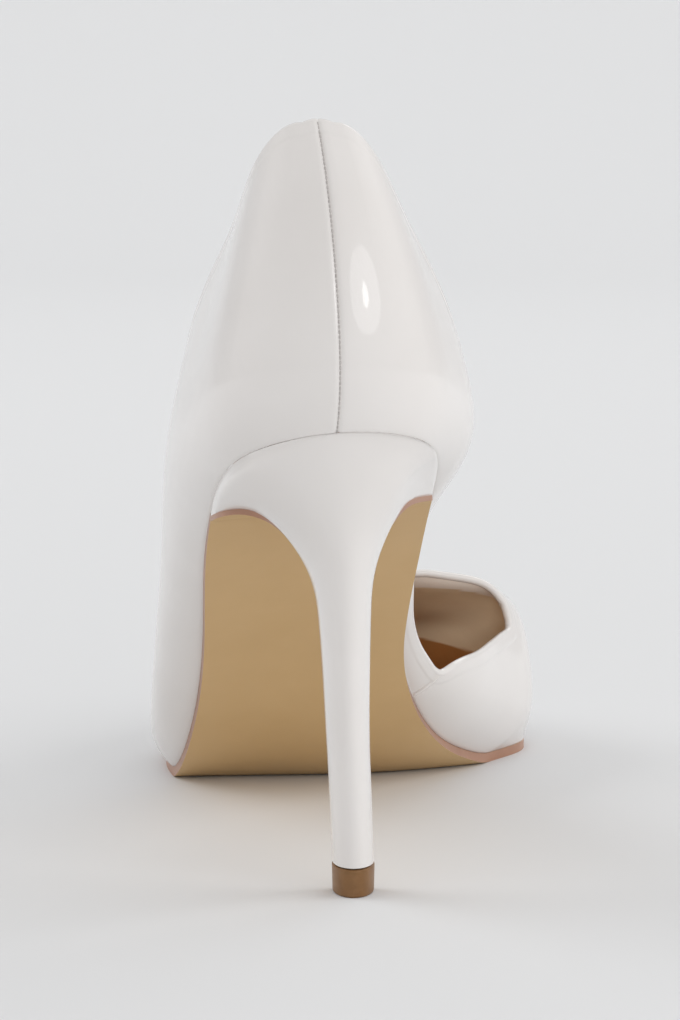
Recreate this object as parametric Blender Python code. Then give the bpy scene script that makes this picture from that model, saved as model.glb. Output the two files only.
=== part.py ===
"""Cut-out court shoe for the left foot, standing on its sole with the toe along +Y.

The inner side of the foot is +X. Sizes are in millimetres in the tables and turned to metres when a
mesh is made. The tables start at the middle of the heel tip; the whole shoe is centred at the end.
"""

import bmesh
import bpy
import numpy as np

for item in list(bpy.data.objects):
    bpy.data.objects.remove(item, do_unlink=True)

# Driving sizes in millimetres
MM = 0.001
WALL = 1.6
SOLE_THICKNESS = 1.8
FLAP_THICKNESS = 1.2
INSOLE_THICKNESS = 2.2
GAP = 0.3
TREAD_START = 124.0
TREAD_END = 152.0
TOE_Y = 207.0
TOE_SPRING = 5.0
TIP_HEIGHT = 5.6
THROAT = 0.685
SEAT_END = 0.2
ROUND_LEVEL = 22.0

# The last: one row for each station from the back of the heel to the tip of the toe
STATION_COLUMNS = ("station", "outer_y", "outer_x", "inner_y", "inner_x", "ridge_x", "ridge_y", "ridge_z",
                   "outer_bulge", "inner_bulge", "bulge_height", "outer_full", "inner_full")
STATIONS = (
    (0.00, -28.0, -3.4, -28.0, -3.4, -10.6, -2.5, 160.0, 3.0, 3.0, 17.0, 2.0, 2.0),
    (0.055, -21.5, -18.0, -21.5, 10.5, -10.6, -1.5, 160.0, 4.6, 2.9, 16.8, 1.88, 1.88),
    (0.12, -7.0, -25.6, -7.0, 16.0, -10.6, 4.0, 159.0, 4.8, 4.9, 14.8, 1.72, 1.74),
    (0.20, 10.0, -28.0, 13.0, 15.8, -9.0, 18.0, 155.0, 6.8, 8.2, 14.6, 1.9, 2.3),
    (0.31, 36.0, -30.0, 43.0, 14.0, -7.0, 48.0, 140.0, 9.0, 2.0, 19.0, 2.6, 2.2),
    (0.43, 64.0, -31.0, 72.0, 11.7, -3.0, 77.0, 112.0, 9.5, 4.8, 18.0, 2.9, 2.4),
    (0.55, 92.0, -33.5, 100.0, 14.6, 5.0, 105.0, 78.2, 9.0, 7.2, 15.0, 3.3, 3.6),
    (0.67, 120.0, -39.0, 136.0, 31.4, 15.0, 131.0, 46.8, 5.5, 9.4, 13.0, 3.0, 6.5),
    (0.77, 146.0, -41.0, 156.0, 41.4, 14.5, 153.0, 37.4, 3.0, 0.8, 12.0, 2.7, 5.0),
    (0.86, 172.5, -32.4, 177.5, 35.4, 11.5, 174.0, 30.0, 2.5, 1.5, 10.0, 2.5, 3.6),
    (0.94, 195.8, -14.6, 196.8, 18.9, 7.0, 190.5, 25.0, 1.5, 1.5, 8.0, 2.4, 2.7),
    (1.00, 207.0, 3.0, 207.0, 3.0, 4.0, 196.0, 22.5, 1.0, 1.0, 7.0, 2.4, 2.4),
)

# Height of the featherline along the last, down to the flat tread
BOTTOM_COLUMNS = ("along", "height")
BOTTOM = ((-32.0, 94.5), (-10.0, 85.5), (12.0, 75.1), (36.0, 63.7), (60.0, 48.5), (84.0, 30.4),
          (98.0, 18.2), (106.0, 11.4), (112.0, 7.0), (118.0, 3.7), (TREAD_START, SOLE_THICKNESS + GAP / 2.0))

# The ball line runs slantwise: how far a point on the inner side lags behind along the bottom
SLANT_COLUMNS = ("along", "slant")
SLANT = ((-40.0, 0.20), (0.0, 0.23), (40.0, 0.30), (75.0, 0.25), (100.0, 0.13), (130.0, 0.06), (210.0, 0.10))
SLANT_MIDDLE = -8.0

# The inner edge of the bottom curls up at the ball: more lag with the square of the way to that side
ROUND_COLUMNS = ("along", "round")
ROUND = ((-40.0, 0.0), (40.0, 0.0), (70.0, 0.0), (100.0, 0.0022), (124.0, 0.0073), (150.0, 0.0057),
         (175.0, 0.0019), (210.0, 0.0))

# The topline: turn up the wall where the upper is cut, by the square root of the share behind the throat.
# On the inner side it runs from the throat down to a low rim and up again to the back.
TOPLINE_COLUMNS = ("back", "outer_turn", "inner_turn")
TOPLINE = (
    (0.00, 72.0, 44.5),
    (0.05, 68.4, 40.4),
    (0.10, 64.5, 36.8),
    (0.20, 55.5, 32.8),
    (0.25, 51.0, 29.6),
    (0.30, 46.8, 25.0),
    (0.36, 42.3, 18.0),
    (0.42, 38.9, 9.5),
    (0.436, 38.1, 6.8),
    (0.446, 37.7, 6.15),
    (0.46, 37.05, 5.85),
    (0.50, 35.4, 4.7),
    (0.54, 33.9, 3.7),
    (0.58, 32.6, 3.0),
    (0.64, 31.0, 2.75),
    (0.70, 30.4, 2.7),
    (0.78, 33.5, 2.8),
    (0.81, 36.8, 3.6),
    (0.83, 39.4, 8.2),
    (0.85, 42.1, 18.4),
    (0.88, 46.1, 29.0),
    (0.91, 49.5, 39.0),
    (0.94, 53.4, 49.2),
    (0.97, 58.9, 58.1),
    (1.00, 62.3, 62.3),
    (1.03, 58.9, 58.1),
)
TOE_TURN = 58.0

# The heel: one row for each level below the seat, with the straight front edge and the round back
HEEL_COLUMNS = ("level", "front_y", "front_z", "back_y", "back_z", "half_width", "middle_x", "tilt", "slant")
HEEL = (
    (1.2, 11.0, 74.9, -27.8, 93.1, 21.8, -6.1, 3.6, 4.0),
    (4.5, 3.6, 76.0, -27.2, 90.5, 19.7, -6.7, 2.6, 3.3),
    (10.0, -5.2, 76.6, -25.6, 85.0, 15.2, -5.2, 0.6, 3.0),
    (19.0, -8.9, 69.5, -22.4, 75.0, 8.6, -3.0, 0.0, 1.5),
    (35.0, -7.4, 55.0, -17.3, 57.0, 5.1, -1.75, 0.0, 0.6),
    (57.0, -4.3, 33.0, -13.4, 34.0, 4.3, -1.15, 0.0, 0.3),
    (73.0, -1.7, 18.0, -10.0, 18.2, 4.15, -0.5, 0.0, 0.0),
    (85.0, 0.9, TIP_HEIGHT + GAP, -6.9, TIP_HEIGHT + GAP, 4.05, 0.0, 0.0, 0.0),
)


def spline(knots, values, at, periodic=False):
    """Smooth curve through the values, natural at its ends or closed on itself."""
    knots = np.asarray(knots, float)
    values = np.asarray(values, float)
    at = np.asarray(at, float)
    count = len(knots)
    step = np.diff(knots)
    rise = np.diff(values) / step
    size = count - 1 if periodic else count
    matrix = np.eye(size)
    right = np.zeros(size)
    for i in range(size):
        if not periodic and i in (0, count - 1):
            continue
        matrix[i, i] = 2.0 * (step[i - 1] + step[i])
        matrix[i, (i - 1) % size] = step[i - 1]
        matrix[i, (i + 1) % size] = step[i]
        right[i] = 6.0 * (rise[i] - rise[i - 1])
    bend = np.linalg.solve(matrix, right)
    if periodic:
        bend = np.append(bend, bend[0])
        at = knots[0] + np.mod(at - knots[0], knots[-1] - knots[0])
    k = np.clip(np.searchsorted(knots, at, side="right") - 1, 0, count - 2)
    a = (knots[k + 1] - at) / step[k]
    b = 1.0 - a
    bow = ((a ** 3 - a) * bend[k] + (b ** 3 - b) * bend[k + 1]) * step[k] ** 2 / 6.0
    return a * values[k] + b * values[k + 1] + bow


def along(table, at):
    """Value of a two-column table."""
    rows = np.array(table)
    return spline(rows[:, 0], rows[:, 1], at)


def around(outer, inner, place):
    """A station column all round the last: outer side below zero, inner side above, toe tip at one."""
    rows = np.array(STATIONS)
    first = STATION_COLUMNS.index(outer)
    second = STATION_COLUMNS.index(inner)
    knots = np.concatenate([-rows[::-1, 0], rows[1:, 0]])
    values = np.concatenate([rows[::-1, first], rows[1:, second]])
    return spline(knots, values, place, periodic=True)


def bottom_height(x, y):
    """Height of the underside of the last: heel seat, shank, flat tread and toe spring."""
    side = x - SLANT_MIDDLE
    lag = y - along(SLANT, y) * side - along(ROUND, y) * np.clip(side, 0.0, None) ** 2
    rows = np.array(BOTTOM)
    knots = np.concatenate([rows[:, 0], 2.0 * TREAD_START - rows[-2::-1, 0]])
    values = np.concatenate([rows[:, 1], rows[-2::-1, 1]])
    rear = spline(knots, values, np.minimum(lag, TREAD_START))
    rise = np.clip((lag - TREAD_END) / (TOE_Y - TREAD_END), 0.0, None)
    return np.where(lag < TREAD_START, rear, rows[-1, 1] + TOE_SPRING * rise ** 2)


def last_point(place, turn):
    """Point on the wall of the last: turn 0 is the featherline and a quarter turn is the ridge."""
    foot_x = around("outer_x", "inner_x", place)
    foot_y = around("outer_y", "inner_y", place)
    foot_z = bottom_height(foot_x, foot_y)
    ridge_x = around("ridge_x", "ridge_x", place)
    ridge_y = around("ridge_y", "ridge_y", place)
    ridge_z = around("ridge_z", "ridge_z", place)
    near = np.clip(np.abs(place), 0.02, 0.98)
    fall = around("ridge_z", "ridge_z", near + 0.001) - around("ridge_z", "ridge_z", near - 0.001)
    run = around("ridge_y", "ridge_y", near + 0.001) - around("ridge_y", "ridge_y", near - 0.001)
    side_x = foot_x - ridge_x
    side_y = foot_y - ridge_y
    side_z = fall / run * side_y
    drop = ridge_z + side_z - foot_z
    full = around("outer_full", "inner_full", place)
    size = (np.cos(turn) ** full + np.sin(turn) ** full) ** (1.0 / full)
    out = np.cos(turn) / size
    up = np.sin(turn) / size
    z = ridge_z + side_z * out - drop * (1.0 - up)
    level = np.clip((z - foot_z) / around("bulge_height", "bulge_height", place), 0.0, None)
    swell = around("outer_bulge", "inner_bulge", place) * level * np.exp(1.0 - level)
    reach = np.hypot(side_x, side_y)
    x = ridge_x + side_x * (out + swell / reach)
    y = ridge_y + side_y * (out + swell / reach)
    return np.stack([x, y, z], axis=-1)


def topline_turn(place):
    """Turn at which the wall reaches the topline, carried on round the toe as a row of the closed vamp."""
    rows = np.array(TOPLINE)
    back = np.sqrt(np.clip(1.0 - np.abs(place) / THROAT, 0.0, None))
    turn = np.where(place < 0.0, spline(rows[:, 0], rows[:, 1], back), spline(rows[:, 0], rows[:, 2], back))
    ahead = np.clip((np.abs(place) - THROAT) / (1.0 - THROAT), 0.0, 1.0)
    ahead = ahead * ahead * (3.0 - 2.0 * ahead)
    return np.radians(turn + ahead * (TOE_TURN - turn))


def normals(grid, closed):
    """Unit normals of a grid of points, from its neighbours."""
    if closed:
        side = np.roll(grid, -1, axis=0) - np.roll(grid, 1, axis=0)
    else:
        side = np.gradient(grid, axis=0)
    rise = np.gradient(grid, axis=1)
    normal = np.cross(side, rise)
    return normal / np.linalg.norm(normal, axis=-1, keepdims=True)


def material(name, colour, roughness, coat):
    """Plain surface with its own colour and gloss."""
    made = bpy.data.materials.new(name)
    made.use_nodes = True
    shader = made.node_tree.nodes["Principled BSDF"]
    shader.inputs["Base Color"].default_value = (*colour, 1.0)
    shader.inputs["Roughness"].default_value = roughness
    shader.inputs["Coat Weight"].default_value = coat
    return made


def add_piece(name, points, faces, surface):
    """Make one named piece from points in millimetres."""
    mesh = bpy.data.meshes.new(name)
    mesh.from_pydata((np.asarray(points) * MM).tolist(), [], faces)
    solid = bmesh.new()
    solid.from_mesh(mesh)
    bmesh.ops.recalc_face_normals(solid, faces=solid.faces)
    if solid.calc_volume(signed=True) < 0.0:
        bmesh.ops.reverse_faces(solid, faces=solid.faces)
    solid.to_mesh(mesh)
    solid.free()
    for polygon in mesh.polygons:
        polygon.use_smooth = True
    mesh.materials.append(surface)
    piece = bpy.data.objects.new(name, mesh)
    bpy.context.scene.collection.objects.link(piece)
    return piece


def plate_faces(count, width):
    """Faces of a closed sheet: a top grid, a bottom grid and the edge all round."""
    def top(i, j):
        return i * width + j

    def under(i, j):
        return count * width + i * width + j

    faces = []
    for i in range(count - 1):
        for j in range(width - 1):
            faces.append((top(i, j), top(i, j + 1), top(i + 1, j + 1), top(i + 1, j)))
            faces.append((under(i, j), under(i + 1, j), under(i + 1, j + 1), under(i, j + 1)))
        last = width - 1
        faces.append((top(i, 0), top(i + 1, 0), under(i + 1, 0), under(i, 0)))
        faces.append((top(i, last), under(i, last), under(i + 1, last), top(i + 1, last)))
    for j in range(width - 1):
        last = count - 1
        faces.append((top(0, j), under(0, j), under(0, j + 1), top(0, j + 1)))
        faces.append((top(last, j), top(last, j + 1), under(last, j + 1), under(last, j)))
    return faces


def stations():
    """Stations from the back of the heel to the toe tip, closer together at the ends and the throat."""
    rear = THROAT * np.sin(np.linspace(0.0, 1.0, 32) ** 1.35 * np.pi / 2.0)
    front = THROAT + (1.0 - THROAT) * (0.5 - 0.5 * np.cos(np.linspace(0.0, 1.0, 17) * np.pi))
    return np.concatenate([rear, front[1:]])


def build_upper():
    """Hollow upper: outer wall, inner wall, topline edge and featherline edge."""
    low_rows = 9
    top_rows = 6
    half = stations()
    place = np.concatenate([-half[:0:-1], half[:-1]])
    count = len(place)
    closed = np.abs(place) > THROAT - 1e-9
    opposite = [(count - j) % count for j in range(count)]
    cut = topline_turn(place)[:, None]
    low = cut * np.linspace(0.0, 1.0, low_rows + 1)
    top = cut + (np.pi / 2.0 - cut) * np.linspace(0.0, 1.0, top_rows + 1)
    turn = np.concatenate([low, top[:, 1:]], axis=1)
    outer = last_point(place[:, None] * np.ones_like(turn), turn)
    outer[..., 2] += GAP / 2.0
    facing = normals(outer, True)
    ridge = facing[:, -1] + facing[opposite, -1]
    facing[:, -1] = ridge / np.linalg.norm(ridge, axis=-1, keepdims=True)
    inner = outer - WALL * facing
    wide = turn.shape[1]

    def out(j, i):
        j = j % count
        if i == wide - 1 and place[j] < 0.0:
            j = opposite[j]
        return j * wide + i

    def ins(j, i):
        return count * wide + out(j, i)

    faces = []
    for j in range(count):
        shut = closed[j] and closed[(j + 1) % count]
        rows = wide - 1 if shut else low_rows
        for i in range(rows):
            faces.append((out(j, i), out(j + 1, i), out(j + 1, i + 1), out(j, i + 1)))
            faces.append((ins(j, i), ins(j, i + 1), ins(j + 1, i + 1), ins(j + 1, i)))
        faces.append((out(j, 0), ins(j, 0), ins(j + 1, 0), out(j + 1, 0)))
        if not shut:
            faces.append((out(j, rows), out(j + 1, rows), ins(j + 1, rows), ins(j, rows)))
        if closed[j] and not (closed[j - 1] and closed[(j + 1) % count]):
            for i in range(low_rows, wide - 1):
                faces.append((out(j, i), out(j, i + 1), ins(j, i + 1), ins(j, i)))
    points = np.concatenate([outer.reshape(-1, 3), inner.reshape(-1, 3)])
    used = sorted({k for face in faces for k in face})
    number = {k: n for n, k in enumerate(used)}
    faces = [tuple(number[k] for k in face) for face in faces]
    white = material("white patent", (0.80, 0.77, 0.74), 0.25, 1.0)
    return "upper", points[used], faces, white


def bottom_outline(place, inset, lift):
    """The featherline moved inwards in plan and set at the height of the last's underside."""
    step = 0.0005
    foot = last_point(place, np.zeros_like(place))
    run = last_point(place + step, np.zeros_like(place)) - last_point(place - step, np.zeros_like(place))
    size = np.hypot(run[:, 0], run[:, 1])
    x = foot[:, 0] - inset * run[:, 1] / size
    y = foot[:, 1] + inset * run[:, 0] / size
    return np.stack([x, y, bottom_height(x, y) + lift], axis=-1)


def bottom_ribs(half, across, inset, lift):
    """Ribs across the bottom of the last from the outer to the inner side."""
    share = np.linspace(0.0, 1.0, across)[None, :, None]
    outer = bottom_outline(-half, inset, lift)[:, None, :]
    inner = bottom_outline(half, inset, lift)[:, None, :]
    ribs = outer * (1.0 - share) + inner * share
    ribs[..., 2] = bottom_height(ribs[..., 0], ribs[..., 1]) + lift
    return ribs


def build_insole():
    """Footbed inside the upper, bent like the last."""
    across = 5
    half = stations()[1:-1]
    under = bottom_ribs(half, across, WALL + 1.5 * GAP, GAP / 2.0)
    top = under + np.array([0.0, 0.0, INSOLE_THICKNESS])
    points = np.concatenate([top.reshape(-1, 3), under.reshape(-1, 3)])
    brown = material("brown sock", (0.16, 0.09, 0.05), 0.55, 0.0)
    return "insole", points, plate_faces(len(half), across), brown


def seat_outline():
    """Outline of the heel seat on the last, with its share across and its share of depth."""
    half = stations()
    half = half[half < SEAT_END + 0.01]
    place = np.concatenate([-half[:0:-1], half])
    seat = bottom_outline(place, 0.0, -GAP / 2.0)
    share = np.clip((seat[:, 0] - seat[0, 0]) / (seat[-1, 0] - seat[0, 0]), 0.0, 1.0)
    front = seat[0, 1] + (seat[-1, 1] - seat[0, 1]) * share
    depth = (front - seat[:, 1]) / np.max(front - seat[:, 1])
    return seat, 2.0 * share - 1.0, depth


def heel_columns(levels):
    """Heel table columns at the given levels below the seat."""
    rows = np.array(HEEL)
    return [spline(rows[:, 0], rows[:, k], levels) for k in range(1, len(HEEL_COLUMNS))]


def heel_ring(level, across, depth):
    """One D-shaped ring of the heel: seat shape near the top, plain half ellipse lower down."""
    turn = np.linspace(-np.pi / 2.0, np.pi / 2.0, len(across))
    fade = np.clip(level / ROUND_LEVEL, 0.0, 1.0)
    fade = fade * fade * (3.0 - 2.0 * fade)
    across = across + fade * (np.sin(turn) - across)
    depth = depth + fade * (np.cos(turn) - depth)
    front_y, front_z, back_y, back_z = heel_columns(level)[:4]
    lean = np.stack([np.zeros_like(depth), (back_y - front_y) * depth, (back_z - front_z) * depth], axis=-1)
    return heel_edge(level, across) + lean


def heel_edge(level, across):
    """Straight front edge of the heel at a level."""
    front_y, front_z, _, _, half, middle, tilt, slant = heel_columns(level)
    return np.stack([middle + half * across, front_y + slant * across / 2.0,
                     front_z + tilt * across / 2.0], axis=-1)


def build_heel():
    """Covered heel: rings from the shape of the seat, growing narrow towards the tip."""
    seat, across, depth = seat_outline()
    top = HEEL[0][0]
    end = HEEL[-1][0]
    levels = top + (end - top) * np.linspace(0.0, 1.0, 24) ** 1.4
    rings = [seat] + [heel_ring(level, across, depth) for level in levels]
    wide = len(across)
    faces = []
    for k in range(len(rings) - 1):
        for i in range(wide):
            n = (i + 1) % wide
            faces.append((k * wide + i, k * wide + n, (k + 1) * wide + n, (k + 1) * wide + i))
    for i in range(wide // 2):
        faces.append((i, i + 1, wide - 2 - i, wide - 1 - i))
    faces = [tuple(dict.fromkeys(face)) for face in faces]
    last = (len(rings) - 1) * wide
    faces.append(tuple(last + i for i in range(wide)))
    white = material("white heel cover", (0.80, 0.77, 0.74), 0.25, 1.0)
    return "heel", np.concatenate(rings), faces, white


def build_outsole():
    """Thin sole: a flap up the front of the heel, a bend under the waist, then the sole to the toe."""
    across = 5
    share = np.linspace(-1.0, 1.0, across)
    top = HEEL[0][0]
    end = HEEL[-1][0]
    levels = top + (end - top) * np.linspace(1.0, 0.0, 22) ** 1.4
    flap = np.array([heel_edge(level, share) for level in levels])
    half = stations()[:-1]
    sole = bottom_ribs(half[half > SEAT_END + 0.015], across, 0.2, -GAP / 2.0)
    flap_up = normals(flap, False)
    flap = flap + GAP * flap_up
    upper = np.concatenate([flap, sole])
    up = normals(upper, False)
    thick = np.concatenate([np.linspace(FLAP_THICKNESS, SOLE_THICKNESS, len(flap)),
                            np.full(len(sole), SOLE_THICKNESS)])
    under = upper + thick[:, None, None] * up
    points = np.concatenate([upper.reshape(-1, 3), under.reshape(-1, 3)])
    tan = material("tan sole", (0.42, 0.29, 0.14), 0.40, 0.2)
    return "outsole", points, plate_faces(len(upper), across), tan


def build_heel_tip():
    """Top piece under the heel and the end of the sole flap."""
    _, across, depth = seat_outline()
    ring = heel_ring(HEEL[-1][0], across, depth)
    middle = np.array([ring[:, 0].mean(), 0.0, 0.0])
    ring[:, 1] = np.where(depth < 1e-6, ring[:, 1] + FLAP_THICKNESS + GAP, ring[:, 1])
    wide = len(across)
    ring = (ring - middle) * np.array([1.04, 1.02, 0.0]) + middle
    low = ring * np.array([0.97, 0.97, 0.0])
    high = ring + np.array([0.0, 0.0, TIP_HEIGHT])
    faces = [tuple(range(wide)), tuple(reversed(range(wide, 2 * wide)))]
    for i in range(wide):
        n = (i + 1) % wide
        faces.append((i, wide + i, wide + n, n))
    dark = material("brown tip", (0.17, 0.09, 0.04), 0.45, 0.0)
    return "heel_tip", np.concatenate([low, high]), faces, dark


PIECES = [build_upper(), build_insole(), build_outsole(), build_heel(), build_heel_tip()]
EVERY = np.concatenate([points for _, points, _, _ in PIECES])
CENTRE = (EVERY.min(axis=0) + EVERY.max(axis=0)) / 2.0 * np.array([1.0, 1.0, 0.0])
for name, points, faces, surface in PIECES:
    add_piece(name, points - CENTRE, faces, surface)
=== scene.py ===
"""Looks of the cut-out court shoe: white patent, tan sole, slender covered heel, on a pale studio floor."""

import math

import bmesh
import bpy
import numpy as np
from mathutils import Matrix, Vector


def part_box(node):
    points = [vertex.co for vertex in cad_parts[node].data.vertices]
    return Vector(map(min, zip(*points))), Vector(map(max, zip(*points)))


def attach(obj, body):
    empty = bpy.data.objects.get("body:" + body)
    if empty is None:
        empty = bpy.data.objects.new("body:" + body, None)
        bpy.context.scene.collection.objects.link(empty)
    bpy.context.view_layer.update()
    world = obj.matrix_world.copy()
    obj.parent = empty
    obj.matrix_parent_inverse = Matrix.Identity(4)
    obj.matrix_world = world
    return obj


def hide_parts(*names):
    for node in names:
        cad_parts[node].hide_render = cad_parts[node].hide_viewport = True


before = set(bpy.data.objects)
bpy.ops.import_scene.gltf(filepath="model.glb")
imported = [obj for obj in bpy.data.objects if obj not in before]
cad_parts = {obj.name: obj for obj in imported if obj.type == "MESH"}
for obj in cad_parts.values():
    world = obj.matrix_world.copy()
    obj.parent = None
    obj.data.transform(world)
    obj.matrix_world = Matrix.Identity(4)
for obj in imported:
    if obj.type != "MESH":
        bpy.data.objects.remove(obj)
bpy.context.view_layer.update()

# The upper
# White patent drawn tight over a last and glued under the insole: high and closed on the outer side,
# cut away along the inner arch down to a low rim. Its edge is folded in, and it is sewn up the back.

# Sizes are millimetres in the last's own place, with the toe along y. A place runs round the last from
# nought at the back seam to one at the toe tip, and a turn climbs the wall from its foot.
MM = 0.001
WALL = 1.6
PATENT_THICKNESS = 0.9
GAP = 0.3
THROAT = 0.685
TREAD_START = 124.0
TREAD_END = 152.0
TREAD_HEIGHT = 1.95
TOE_Y = 207.0
TOE_SPRING = 5.0
TOE_TURN = 58.0
FOLD_WIDTH = 2.6
FOLD_RISE = 0.10
FOLD_SOFT = 0.5
SEAM_DEPTH = 0.28
SEAM_REACH = 0.55
SEAM_RIDGE = 0.12
RIDGE_REACH = 1.5
FOOT_ROUND = 0.10
FOOT_REACH = 0.25

# The lap: back share and turn in degrees at its two ends, and the shares over which its step comes and goes
LAP_TOP = (0.44, 6.2)
LAP_END = (0.456, 0.0)
LAP_STEP = 0.35
LAP_SOFT = 0.5
LAP_COMES_OVER = 0.01
LAP_GONE_AT = 0.78
LAP_GOES_OVER = 0.1

# Places round the upper and rows up its wall, as ends and counts
SEAM_PLACES = (0.0, 0.0008, 0.0016, 0.0026, 0.004, 0.006)
SEAM_CLEAR = 0.007
REAR_COUNT = 84
REAR_CROWDING = 1.2
LAP_PLACES = (0.52, 0.61, 40)
THROAT_PLACES = (0.0, 0.01575, 11)
FRONT_SHARES = (0.06, 1.0, 44)
PLACE_CLOSEST = 0.0004
FOOT_SHARES = (0.0, 0.0025, 0.006, 0.012, 0.022)
WALL_SHARES = (0.04, 0.88, 25)
FOLD_SHARES = (0.88, 1.0, 22)
VAMP_SHARES = (0.0, 1.0, 17)
RIDGE_ENDS = (0.02, 0.98)
RIDGE_STEP = 0.001
PLACE_EXACT = 1e-6
SHARP_ANGLE = math.radians(50.0)
MERGE_DISTANCE = 1e-7

PATENT_SHADE = (0.790, 0.757, 0.733)
PATENT_WHITE = (0.820, 0.789, 0.767)

STATION_COLUMNS = ("station", "outer_y", "outer_x", "inner_y", "inner_x", "ridge_x", "ridge_y", "ridge_z",
                   "outer_bulge", "inner_bulge", "bulge_height", "outer_full", "inner_full")
STATIONS = (
    (0.00, -28.0, -3.4, -28.0, -3.4, -10.6, -2.5, 160.0, 3.0, 3.0, 17.0, 2.0, 2.0),
    (0.055, -21.5, -18.0, -21.5, 10.5, -10.6, -1.5, 160.0, 4.6, 2.9, 16.8, 1.88, 1.88),
    (0.12, -7.0, -25.6, -7.0, 16.0, -10.6, 4.0, 159.0, 4.8, 4.9, 14.8, 1.72, 1.74),
    (0.20, 10.0, -28.0, 13.0, 15.8, -9.0, 18.0, 155.0, 6.8, 8.2, 14.6, 1.9, 2.3),
    (0.31, 36.0, -30.0, 43.0, 14.0, -7.0, 48.0, 140.0, 9.0, 2.0, 19.0, 2.6, 2.2),
    (0.43, 64.0, -31.0, 72.0, 11.7, -3.0, 77.0, 112.0, 9.5, 4.8, 18.0, 2.9, 2.4),
    (0.55, 92.0, -33.5, 100.0, 14.6, 5.0, 105.0, 78.2, 9.0, 7.2, 15.0, 3.3, 3.6),
    (0.67, 120.0, -39.0, 136.0, 31.4, 15.0, 131.0, 46.8, 5.5, 9.4, 13.0, 3.0, 6.5),
    (0.77, 146.0, -41.0, 156.0, 41.4, 14.5, 153.0, 37.4, 3.0, 0.8, 12.0, 2.7, 5.0),
    (0.86, 172.5, -32.4, 177.5, 35.4, 11.5, 174.0, 30.0, 2.5, 1.5, 10.0, 2.5, 3.6),
    (0.94, 195.8, -14.6, 196.8, 18.9, 7.0, 190.5, 25.0, 1.5, 1.5, 8.0, 2.4, 2.7),
    (1.00, 207.0, 3.0, 207.0, 3.0, 4.0, 196.0, 22.5, 1.0, 1.0, 7.0, 2.4, 2.4),
)

# Along the shoe, height of the underside of the last
BOTTOM = ((-32.0, 94.5), (-10.0, 85.5), (12.0, 75.1), (36.0, 63.7), (60.0, 48.5), (84.0, 30.4),
          (98.0, 18.2), (106.0, 11.4), (112.0, 7.0), (118.0, 3.7), (TREAD_START, TREAD_HEIGHT))

# Along the shoe, slant of the underside from the outer to the inner side
SLANT = ((-40.0, 0.20), (0.0, 0.23), (40.0, 0.30), (75.0, 0.25), (100.0, 0.13), (130.0, 0.06), (210.0, 0.10))
SLANT_MIDDLE = -8.0

# Along the shoe, roundness of the underside on the inner side
ROUND = ((-40.0, 0.0), (40.0, 0.0), (70.0, 0.0), (100.0, 0.0022), (124.0, 0.0073), (150.0, 0.0057),
         (175.0, 0.0019), (210.0, 0.0))

# Back share from the throat to the back seam, turn of the topline on the outer and on the inner side
TOPLINE = (
    (0.00, 72.0, 44.5), (0.05, 68.4, 40.4), (0.10, 64.5, 36.8), (0.20, 55.5, 32.8), (0.25, 51.0, 29.6),
    (0.30, 46.8, 25.0), (0.36, 42.3, 18.0), (0.42, 38.9, 9.5), (0.436, 38.1, 6.8), (0.446, 37.7, 6.15),
    (0.46, 37.05, 5.85), (0.50, 35.4, 4.7), (0.54, 33.9, 3.7), (0.58, 32.6, 3.0), (0.64, 31.0, 2.75),
    (0.70, 30.4, 2.7), (0.78, 33.5, 2.8), (0.81, 36.8, 3.6), (0.83, 39.4, 8.2), (0.85, 42.1, 18.4),
    (0.88, 46.1, 29.0), (0.91, 49.5, 39.0), (0.94, 53.4, 49.2), (0.97, 58.9, 58.1), (1.00, 62.3, 62.3),
    (1.03, 58.9, 58.1),
)


def spline(knots, values, at, periodic=False):
    """Smooth curve through the values, natural at its ends or closed on itself."""
    knots = np.asarray(knots, float)
    values = np.asarray(values, float)
    at = np.asarray(at, float)
    count = len(knots)
    step = np.diff(knots)
    rise = np.diff(values) / step
    size = count - 1 if periodic else count
    matrix = np.eye(size)
    right = np.zeros(size)
    for i in range(size):
        if not periodic and i in (0, count - 1):
            continue
        matrix[i, i] = 2.0 * (step[i - 1] + step[i])
        matrix[i, (i - 1) % size] = step[i - 1]
        matrix[i, (i + 1) % size] = step[i]
        right[i] = 6.0 * (rise[i] - rise[i - 1])
    bend = np.linalg.solve(matrix, right)
    if periodic:
        bend = np.append(bend, bend[0])
        at = knots[0] + np.mod(at - knots[0], knots[-1] - knots[0])
    k = np.clip(np.searchsorted(knots, at, side="right") - 1, 0, count - 2)
    a = (knots[k + 1] - at) / step[k]
    b = 1.0 - a
    bow = ((a ** 3 - a) * bend[k] + (b ** 3 - b) * bend[k + 1]) * step[k] ** 2 / 6.0
    return a * values[k] + b * values[k + 1] + bow


def along(table, at):
    """Value of a two-column table."""
    rows = np.array(table)
    return spline(rows[:, 0], rows[:, 1], at)


def around(outer, inner, place):
    """A station column all round the last: outer side below zero, inner side above, toe tip at one."""
    rows = np.array(STATIONS)
    first = STATION_COLUMNS.index(outer)
    second = STATION_COLUMNS.index(inner)
    knots = np.concatenate([-rows[::-1, 0], rows[1:, 0]])
    values = np.concatenate([rows[::-1, first], rows[1:, second]])
    return spline(knots, values, place, periodic=True)


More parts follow.
